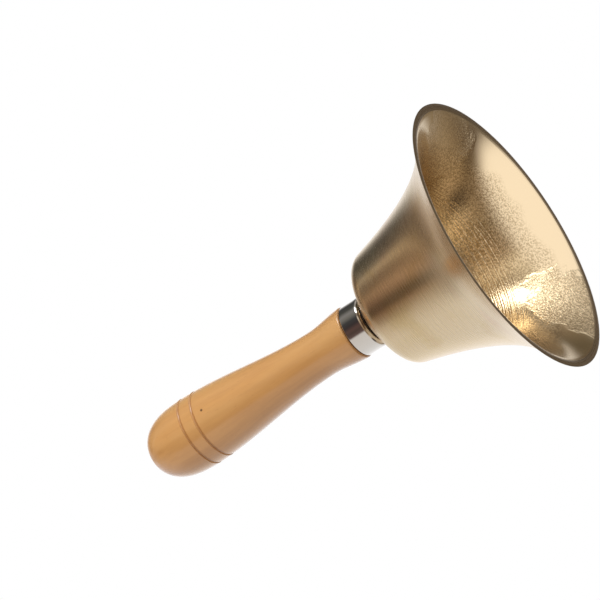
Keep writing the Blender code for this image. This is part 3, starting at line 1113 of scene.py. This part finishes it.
@dataclass
class Fixing:
    """The screw with its eye, and the washers that it clamps."""

    stem_radius: float = 3.0 * MM
    hole_radius: float = 3.3 * MM
    collar_radius: float = 5.2 * MM
    collar_height: float = 1.0 * MM
    eye_radius: float = 3.5 * MM
    eye_wire: float = 1.2 * MM
    eye_sunk: float = 0.6 * MM
    point: float = 3.5 * MM
    thread_pitch: float = 1.25 * MM
    thread_depth: float = 0.45 * MM
    slit: float = 0.8 * MM
    slit_slant: float = 25.0
    seat_gap: float = 0.3 * MM
    zinc: Finish = Finish("zinc_plated_steel", (0.56, 0.57, 0.60), 0.30)
    # Near-black fibre for the crown washer: a real washer whose dark tone also stands for painted shade
    # in the gap under the ferrule.
    fibre: Finish = Fibre("pressed_fibre_gap_shade", (0.05, 0.04, 0.035), 0.75, 0.0)

    def build_washer(self, name: str, node: str, finish: Finish, edge: float) -> Piece:
        """Turns a washer in its node's place.

        Args:
            name: The piece's name.
            node: The node whose box gives its size.
            finish: The washer's finish.
            edge: The radius of its broken edges.

        Returns:
            The washer.
        """
        low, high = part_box(node)
        section = washer_section(self.hole_radius, high.x, low.z, high.z, edge)
        washer = turn(name, section, 96, Seam.CLOSED)
        washer.data.materials.append(finish.make())
        return washer

    def build_lock_washer(self) -> Piece:
        """Turns the spring washer and saws its slanted slit.

        Returns:
            The lock washer.
        """
        low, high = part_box("lock_washer")
        section = washer_section(self.hole_radius, high.x, low.z, high.z, 0.15 * MM)
        washer = turn("lock_washer_split", section, 96, Seam.CLOSED)
        deselect_all()
        bpy.ops.mesh.primitive_cube_add(size=1.0, location=(0.0, high.x, (low.z + high.z) / 2.0))
        saw = claim_new("slit_saw")
        saw.scale = (self.slit, high.x, 4.0 * (high.z - low.z))
        saw.rotation_euler = (0.0, math.radians(self.slit_slant), 0.0)
        bpy.ops.object.transform_apply(location=True, rotation=True, scale=True)
        deselect_all()
        washer.select_set(True)
        bpy.context.view_layer.objects.active = washer
        cut = washer.modifiers.new("Saw", "BOOLEAN")
        cut.operation = "DIFFERENCE"
        cut.solver = "EXACT"
        cut.object = saw
        bpy.ops.object.modifier_apply(modifier=cut.name)
        bpy.data.objects.remove(saw, do_unlink=True)
        settle(washer)
        washer.data.materials.append(self.zinc.make())
        return washer

    def build_screw(self) -> Piece:
        """Turns the screw's ringed stem and collar, and forges its eye on.

        Returns:
            The screw.
        """
        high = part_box("eye_screw")[1]
        collar_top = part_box("lock_washer")[0].z - self.seat_gap
        collar_bottom = collar_top - self.collar_height
        edge = 0.25 * MM
        thread_top = high.z - self.point
        stem = [(0.0, high.z), (self.stem_radius - self.thread_depth, thread_top)]
        turns = int((thread_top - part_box("ferrule")[0].z) / self.thread_pitch)
        for i in range(turns):
            crest = thread_top - (i + 0.5) * self.thread_pitch
            root = thread_top - (i + 1.0) * self.thread_pitch
            stem += [(self.stem_radius, crest), (self.stem_radius - self.thread_depth, root)]
        plain_top = stem[-1][1] - 0.5 * self.thread_pitch
        stem += [(self.stem_radius, plain_top), (self.stem_radius, collar_top)]
        upper = arc((self.collar_radius - edge, collar_top - edge), edge, 90.0, 0.0, 4)
        lower = arc((self.collar_radius - edge, collar_bottom + edge), edge, 0.0, -90.0, 4)
        profile = stem + upper + lower + [(0.0, collar_bottom)]
        screw = turn("eye_screw_forged", profile, 64, Seam.ON_AXIS)
        eye_height = collar_bottom + self.eye_sunk - self.eye_radius - self.eye_wire
        eye = wire_ring("screw_eye", self.eye_radius, self.eye_wire, eye_height, Plane.XZ)
        weld_in(screw, eye, 40.0)
        screw.data.materials.append(self.zinc.make())
        return screw


@dataclass
class Clapper:
    """The link ring, and the clapper's rod and ball that hang from it."""

    link_wire: float = 0.9 * MM
    eye_radius: float = 3.0 * MM
    eye_wire: float = 0.9 * MM
    rod_radius: float = 1.3 * MM
    rod_gap: float = 0.3 * MM
    wire_steel: Finish = Finish("drawn_wire", (0.52, 0.52, 0.54), 0.28)
    ball_steel: Finish = Finish("turned_steel", (0.46, 0.46, 0.48), 0.22)

    def build_link(self) -> Piece:
        """Bends the link ring out of wire.

        Returns:
            The link ring.
        """
        low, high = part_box("link_ring")
        height = (low.z + high.z) / 2.0
        radius = (high.z - low.z) / 2.0 - self.link_wire
        link = wire_ring("link_ring_wire", radius, self.link_wire, height, Plane.YZ)
        link.data.materials.append(self.wire_steel.make())
        return link

    def build_rod(self) -> Piece:
        """Turns the rod with its peened tail and forges its eye on.

        Returns:
            The rod.
        """
        low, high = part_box("clapper_rod")
        eye_height = high.z - self.eye_radius - self.eye_wire
        top = eye_height - self.eye_radius
        radius = self.rod_radius
        neck = [(0.0, 0.0), (0.5, 0.05), (0.85, 0.35), (1.0, 0.8)]
        tail = [(1.0, 0.45), (0.92, 0.22), (0.7, 0.08), (0.0, 0.0)]
        profile = [(across * radius, top - down * radius) for across, down in neck]
        profile += [(across * radius, low.z + up * radius) for across, up in tail]
        rod = turn("clapper_rod_forged", profile, 48, Seam.ON_AXIS)
        eye = wire_ring("rod_eye", self.eye_radius, self.eye_wire, eye_height, Plane.XZ)
        weld_in(rod, eye, 40.0)
        rod.data.materials.append(self.wire_steel.make())
        return rod

    def build_ball(self) -> Piece:
        """Turns the drilled ball, with its hole's edges broken.

        Returns:
            The ball.
        """
        low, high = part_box("clapper_ball")
        radius = high.x
        height = (low.z + high.z) / 2.0
        hole = self.rod_radius + self.rod_gap
        start = math.degrees(math.acos((hole + 0.25 * MM) / radius))
        ball_arc = arc((0.0, height), radius, start, -start, 48)
        top = ball_arc[0][1] - 0.2 * MM
        profile = ball_arc + [(hole, height - (top - height)), (hole, top)]
        ball = turn("clapper_ball_turned", profile, 96, Seam.CLOSED)
        ball.data.materials.append(self.ball_steel.make())
        return ball


# ---------------------------------------------------------------- studio


@dataclass
class Studio:
    """A plain pale floor, a soft bright surround with darker parts, and the camera."""

    camera_target: tuple[float, float, float] = (21.65 * MM, -0.33 * MM, 85.79 * MM)
    camera_distance: float = 1536.7 * MM
    camera_azimuth: float = 0.877
    camera_elevation: float = 23.027
    camera_roll: float = 122.96
    lens: float = 240.0
    sensor_width: float = 36.0
    camera_near: float = 0.05
    camera_far: float = 20.0
    key_place: tuple[float, float, float] = (1.1, -1.35, 0.75)
    key_size: float = 1.1
    key_energy: float = 22.0
    floor_size: float = 6.0
    floor_color: Color = (0.86, 0.86, 0.85)
    floor_roughness: float = 0.9
    high_ring: Stops = (
        (-180.0, (0.34, 0.23, 0.15)),
        (-163.0, (0.52, 0.44, 0.36)),
        (-142.0, (0.66, 0.61, 0.56)),
        (-115.0, (0.82, 0.81, 0.81)),
        (-70.0, (0.84, 0.84, 0.86)),
        (-40.0, (0.88, 0.90, 0.95)),
        (-20.0, (0.96, 0.98, 1.05)),
        (0.0, (0.66, 0.56, 0.48)),
        (20.0, (0.70, 0.62, 0.56)),
        (33.0, (0.40, 0.30, 0.23)),
        (46.0, (0.12, 0.09, 0.07)),
        (72.0, (0.12, 0.09, 0.07)),
        (84.0, (0.28, 0.20, 0.13)),
        (91.0, (1.10, 0.90, 0.66)),
        (97.0, (0.34, 0.24, 0.16)),
        (106.0, (0.20, 0.13, 0.09)),
        (118.0, (0.28, 0.19, 0.13)),
        (132.0, (0.58, 0.40, 0.28)),
        (145.0, (0.34, 0.23, 0.16)),
        (159.0, (0.11, 0.08, 0.05)),
        (171.0, (0.12, 0.08, 0.05)),
        (180.0, (0.34, 0.23, 0.15)),
    )
    middle_ring: Stops = (
        (-180.0, (0.09, 0.06, 0.05)),
        (-166.0, (0.14, 0.09, 0.08)),
        (-158.0, (0.73, 0.69, 0.65)),
        (-90.0, (0.80, 0.78, 0.76)),
        (-60.0, (0.88, 0.88, 0.88)),
        (-20.0, (1.15, 1.15, 1.18)),
        (20.0, (1.15, 1.15, 1.18)),
        (36.0, (0.30, 0.29, 0.28)),
        (48.0, (0.06, 0.06, 0.06)),
        (75.0, (0.08, 0.08, 0.07)),
        (96.0, (0.26, 0.25, 0.24)),
        (112.0, (0.20, 0.19, 0.17)),
        (130.0, (0.06, 0.06, 0.06)),
        (150.0, (0.05, 0.04, 0.04)),
        (166.0, (0.12, 0.07, 0.06)),
        (180.0, (0.09, 0.06, 0.05)),
    )
    low_ring: Stops = (
        (-180.0, (0.36, 0.24, 0.13)),
        (-150.0, (0.26, 0.18, 0.10)),
        (-133.0, (0.60, 0.48, 0.34)),
        (-125.0, (0.72, 0.60, 0.45)),
        (-113.0, (0.16, 0.12, 0.08)),
        (-104.0, (0.03, 0.02, 0.02)),
        (-95.0, (0.12, 0.09, 0.06)),
        (-86.0, (0.42, 0.32, 0.22)),
        (-70.0, (0.48, 0.37, 0.25)),
        (-40.0, (0.38, 0.31, 0.23)),
        (-10.0, (0.24, 0.20, 0.15)),
        (5.0, (0.14, 0.11, 0.08)),
        (22.0, (0.13, 0.11, 0.08)),
        (36.0, (0.24, 0.20, 0.16)),
        (50.0, (0.50, 0.46, 0.42)),
        (76.0, (0.36, 0.34, 0.32)),
        (84.0, (0.66, 0.64, 0.62)),
        (91.0, (5.20, 5.30, 5.60)),
        (108.5, (5.20, 5.30, 5.60)),
        (113.0, (0.36, 0.29, 0.22)),
        (123.0, (0.20, 0.15, 0.11)),
        (138.0, (0.80, 0.68, 0.54)),
        (150.0, (0.56, 0.44, 0.31)),
        (165.0, (0.44, 0.31, 0.19)),
        (180.0, (0.36, 0.24, 0.13)),
    )
    deep_ring: Stops = (
        (-180.0, (0.28, 0.20, 0.12)),
        (-150.0, (0.22, 0.16, 0.09)),
        (-130.0, (0.28, 0.21, 0.14)),
        (-108.0, (0.30, 0.23, 0.16)),
        (-85.0, (0.24, 0.18, 0.12)),
        (-68.0, (0.16, 0.12, 0.08)),
        (-40.0, (0.12, 0.09, 0.07)),
        (-15.0, (0.18, 0.16, 0.14)),
        (10.0, (0.50, 0.50, 0.50)),
        (30.0, (0.66, 0.66, 0.68)),
        (70.0, (0.80, 0.80, 0.82)),
        (79.0, (1.10, 1.10, 1.14)),
        (86.0, (5.20, 5.30, 5.60)),
        (99.0, (5.20, 5.30, 5.60)),
        (106.0, (0.80, 0.76, 0.70)),
        (122.0, (0.74, 0.70, 0.64)),
        (140.0, (0.98, 0.94, 0.88)),
        (152.0, (0.66, 0.58, 0.48)),
        (162.0, (0.32, 0.24, 0.16)),
        (180.0, (0.28, 0.20, 0.12)),
    )
    below_color: Color = (1.20, 1.20, 1.26)
    above_color: Color = (0.42, 0.39, 0.36)

    def build_camera(self) -> None:
        """Aims the camera from below the mouth's rim, rolled as the bell is held."""
        azimuth = math.radians(self.camera_azimuth)
        elevation = math.radians(self.camera_elevation)
        level = math.cos(elevation)
        forward = Vector((math.sin(azimuth) * level, math.cos(azimuth) * level, math.sin(elevation)))
        data = bpy.data.cameras.new("camera")
        data.lens = self.lens
        data.sensor_width = self.sensor_width
        data.clip_start, data.clip_end = self.camera_near, self.camera_far
        camera = bpy.data.objects.new("camera", data)
        bpy.context.scene.collection.objects.link(camera)
        roll = Quaternion((0.0, 0.0, 1.0), -math.radians(self.camera_roll))
        camera.rotation_mode = "QUATERNION"
        camera.rotation_quaternion = forward.to_track_quat("-Z", "Y") @ roll
        camera.location = Vector(self.camera_target) - forward * self.camera_distance
        bpy.context.scene.camera = camera

    def build_floor(self) -> None:
        """Lays the floor, which is seen only from above and casts nothing on the bell."""
        deselect_all()
        bpy.ops.mesh.primitive_plane_add(size=self.floor_size, location=(0.0, 0.0, 0.0))
        floor = claim_new("floor")
        material = bpy.data.materials.new("pale_floor")
        material.use_nodes = True
        bench = NodeBench(material.node_tree)
        bench.shader.inputs["Base Color"].default_value = (*self.floor_color, 1.0)
        bench.shader.inputs["Roughness"].default_value = self.floor_roughness
        clear = bench.add("ShaderNodeBsdfTransparent")
        side = bench.add("ShaderNodeNewGeometry")
        mix = bench.add("ShaderNodeMixShader")
        bench.wire(side.outputs["Backfacing"], mix.inputs[0])
        bench.wire(bench.shader.outputs[0], mix.inputs[1])
        bench.wire(clear.outputs[0], mix.inputs[2])
        bench.wire(mix.outputs[0], bench.tree.nodes["Material Output"].inputs["Surface"])
        floor.data.materials.append(material)
        floor.visible_shadow = False
        floor.visible_diffuse = False
        floor.visible_glossy = False

    def build_surround(self) -> None:
        """Paints the soft surround: white behind, a strip light above, darker room parts."""
        world = bpy.data.worlds.new("studio")
        world.use_nodes = True
        bpy.context.scene.world = world
        bench = NodeBench(world.node_tree)
        bench.tree.nodes.clear()
        way = bench.add("ShaderNodeTexCoord").outputs["Generated"]
        parts = bench.add("ShaderNodeSeparateXYZ")
        bench.wire(way, parts.inputs[0])
        east, north, height = parts.outputs
        heading = bench.math("ARCTAN2", east, north)
        share = bench.math("MULTIPLY_ADD", heading, 1.0 / math.tau, 0.5)
        rings = (self.deep_ring, self.low_ring, self.middle_ring, self.high_ring)
        deep, low, middle, high = (self.add_ring(bench, stops, share) for stops in rings)
        color = self.add_band(bench, height, (-14.0, 3.0), low, middle)
        color = self.add_band(bench, height, (37.0, 51.0), color, high)
        color = self.add_band(bench, height, (-27.0, -37.0), color, deep)
        color = self.add_band(bench, height, (-45.0, -58.0), color, self.below_color)
        color = self.add_band(bench, height, (72.0, 88.0), color, self.above_color)
        surround = bench.add("ShaderNodeBackground")
        bench.wire(color, surround.inputs["Color"])
        plain = bench.add("ShaderNodeBackground")
        plain.inputs["Color"].default_value = (1.0, 1.0, 1.0, 1.0)
        choose = bench.add("ShaderNodeMixShader")
        bench.wire(bench.add("ShaderNodeLightPath").outputs["Is Camera Ray"], choose.inputs[0])
        bench.wire(surround.outputs[0], choose.inputs[1])
        bench.wire(plain.outputs[0], choose.inputs[2])
        bench.wire(choose.outputs[0], bench.add("ShaderNodeOutputWorld").inputs["Surface"])

    def add_ring(self, bench: NodeBench, stops: Stops, share: Socket) -> Socket:
        """A ring of colours round the horizon.

        Args:
            bench: The world's nodes.
            stops: Pairs of a heading in degrees, from +Y towards +X, and the colour there.
            share: The socket that says where round the ring a ray goes, from 0 to 1.

        Returns:
            The colour's socket.
        """
        node = bench.add("ShaderNodeValToRGB")
        ramp = node.color_ramp
        for i, (heading, color) in enumerate(stops):
            place = heading / 360.0 + 0.5
            stop = ramp.elements[i] if i < 2 else ramp.elements.new(place)
            stop.position = place
            stop.color = (*color, 1.0)
        bench.wire(share, node.inputs[0])
        return node.outputs[0]

    def add_band(
        self, bench: NodeBench, height: Socket, degrees: Point, first: Paint, second: Paint
    ) -> Socket:
        """Blends from one colour to the next between two elevations.

        Args:
            bench: The world's nodes.
            height: The socket of the ray's Z.
            degrees: The elevations where the blend starts and ends.
            first: The colour before it.
            second: The colour after it.

        Returns:
            The colour's socket.
        """
        start, end = (math.sin(math.radians(angle)) for angle in degrees)
        return bench.blend(bench.span(height, start, end, 0.0, 1.0), first, second)

    def build_key(self) -> None:
        """Hangs the soft key light, which shades the wood and leaves no mirror image."""
        data = bpy.data.lights.new("key", "AREA")
        data.energy, data.size = self.key_energy, self.key_size
        key = bpy.data.objects.new("key", data)
        bpy.context.scene.collection.objects.link(key)
        key.location = self.key_place
        aim = Vector(self.camera_target) - key.location
        key.rotation_euler = aim.to_track_quat("-Z", "Y").to_euler()
        key.visible_glossy = False
        key.visible_camera = False

    def build(self) -> None:
        """Sets up the camera, the floor, the key light and the surround."""
        bpy.context.scene.view_settings.view_transform = "Standard"
        self.build_camera()
        self.build_floor()
        self.build_key()
        self.build_surround()


# ---------------------------------------------------------------- assembly


@dataclass
class HandBell:
    """The whole bell: every piece with its node, its body and its slot in the record."""

    rows: list[tuple[Piece, str, str, str]] = field(default_factory=list)

    def keep(self, piece: Piece, node: str, body: str, slot: str) -> None:
        """Notes which node a piece stands for, what it rides on and its slot."""
        self.rows.append((piece, node, body, slot))

    def build(self) -> None:
        """Builds the sub-assemblies in order."""
        nodes = ("bell_body", "ferrule", "handle_grip")
        bell_box, ferrule_box, grip_box = (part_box(node) for node in nodes)
        shell = Shell(mouth_radius=bell_box[1].x, crown_height=bell_box[1].z)
        self.keep(shell.build(), "bell_body", "bell", "bell_brass")
        handle = Handle(
            ferrule_radius=ferrule_box[1].x,
            ferrule_bottom=ferrule_box[0].z,
            ferrule_top=ferrule_box[1].z,
            tenon_bottom=grip_box[0].z,
            top=grip_box[1].z,
        )
        self.keep(handle.build_grip(), "handle_grip", "bell", "handle_wood")
        self.keep(handle.build_ferrule(), "ferrule", "bell", "ferrule_nickel")
        fixing = Fixing()
        dark = fixing.build_washer("crown_washer_gap_shade", "crown_washer", fixing.fibre, 0.3 * MM)
        self.keep(dark, "crown_washer", "bell", "washer_fibre")
        flat = fixing.build_washer("flat_washer_steel", "flat_washer", fixing.zinc, 0.15 * MM)
        self.keep(flat, "flat_washer", "bell", "fixing_steel")
        self.keep(fixing.build_lock_washer(), "lock_washer", "bell", "fixing_steel")
        self.keep(fixing.build_screw(), "eye_screw", "bell", "fixing_steel")
        clapper = Clapper()
        self.keep(clapper.build_link(), "link_ring", "link", "link_steel")
        self.keep(clapper.build_rod(), "clapper_rod", "clapper", "link_steel")
        self.keep(clapper.build_ball(), "clapper_ball", "clapper", "clapper_steel")

    def fit(self) -> None:
        """Puts every piece on its body and in its node's stead, and reports it."""
        for piece, node, body, slot in self.rows:
            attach(piece, body)
            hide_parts(node)
            log.info("%s for %s on %s, %d faces", piece.name, node, body, len(piece.data.polygons))


def main() -> None:
    """Loads the frame, builds the bell and sets up the studio."""
    logging.basicConfig(level=logging.INFO, format="%(name)s: %(message)s")
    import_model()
    bell = HandBell()
    bell.build()
    bell.fit()
    Studio().build()


if __name__ == "__main__":
    main()
